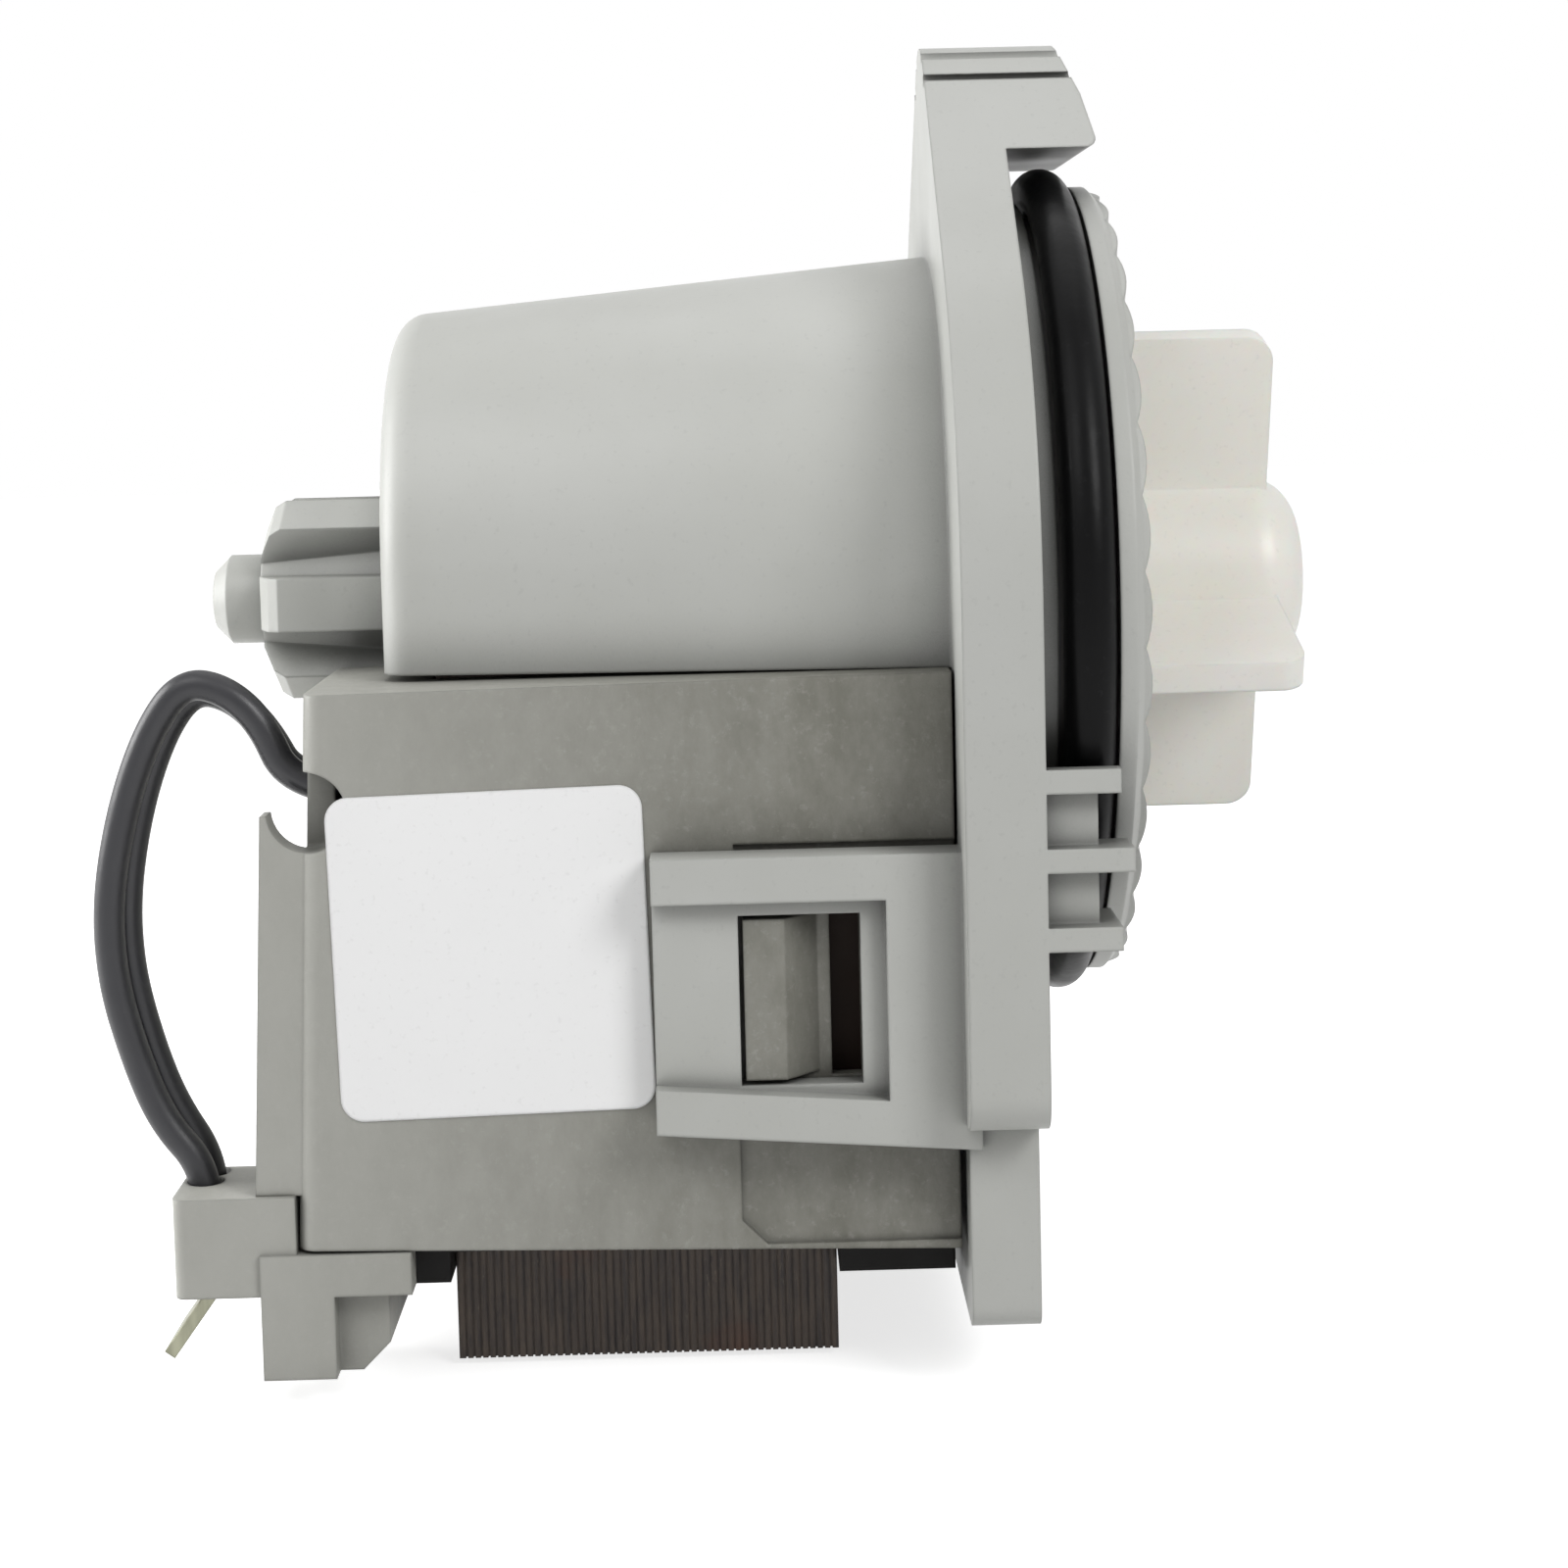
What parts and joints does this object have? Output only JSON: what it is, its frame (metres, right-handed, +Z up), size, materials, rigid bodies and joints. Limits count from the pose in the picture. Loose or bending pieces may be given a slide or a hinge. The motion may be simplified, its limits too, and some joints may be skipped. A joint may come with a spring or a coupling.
{
  "type": "drain pump",
  "caption": "Compact synchronous drain pump with a flanged plastic housing, sealing ring, bladed impeller, potted stator block, laminated core and push-on terminals.",
  "frame": {"origin": "point where the rotor axis meets the front face of the mounting plate", "axes": "+X along the rotor axis towards the impeller, +Z up towards the hook, -Y towards the label"},
  "size_m": [0.082, 0.058, 0.0879],
  "materials": {
    "housing_plastic": "satin",
    "ring_rubber": "satin",
    "impeller_plastic": "satin",
    "casing_plastic": "matte",
    "former_plastic": "matte",
    "core_steel": "dark oxide",
    "label_film": "satin",
    "spade_metal": "bright",
    "copper_wire": "enamelled",
    "magnet_ferrite": "matte",
    "shaft_steel": "ground",
    "bearing_ceramic": "matte",
    "seal_rubber": "matte",
    "washer_plastic": "satin",
    "sleeve_plastic": "matte",
    "switch_plastic": "matte",
    "lead_insulation": "satin"
  },
  "bodies": {
    "housing": {"motor_housing": "housing_plastic", "front_cover": "housing_plastic", "stator_casing": "casing_plastic", "terminal_block": "casing_plastic", "near_spade": "spade_metal", "far_spade": "spade_metal", "core_stack": "core_steel", "near_bobbin": "former_plastic", "far_bobbin": "former_plastic", "near_winding": "copper_wire", "far_winding": "copper_wire", "thermal_cutout": "switch_plastic", "blank_label": "label_film", "rear_bearing": "bearing_ceramic", "front_bearing": "bearing_ceramic", "rear_cushion": "seal_rubber", "front_cushion": "seal_rubber", "shaft_seal": "seal_rubber", "cover_gasket": "ring_rubber", "main_o_ring": "ring_rubber", "near_lead": "lead_insulation", "far_lead": "lead_insulation"},
    "rotor": {"shaft": "shaft_steel", "magnet_sleeve": "sleeve_plastic", "rotor_magnet": "magnet_ferrite", "rear_washer": "washer_plastic", "front_washer": "washer_plastic", "drive_dog": "washer_plastic"},
    "impeller": {"impeller": "impeller_plastic", "impeller_cap": "impeller_plastic"}
  },
  "joints": [
    {"name": "rotor_spin", "type": "hinge", "parent": "housing", "child": "rotor", "pos_m": [0, 0, 0], "axis": [1, 0, 0], "continuous": true},
    {"name": "impeller_free_play", "type": "hinge", "parent": "rotor", "child": "impeller", "pos_m": [0.012, 0, 0], "axis": [1, 0, 0], "range_deg": [-108, 108]}
  ]
}
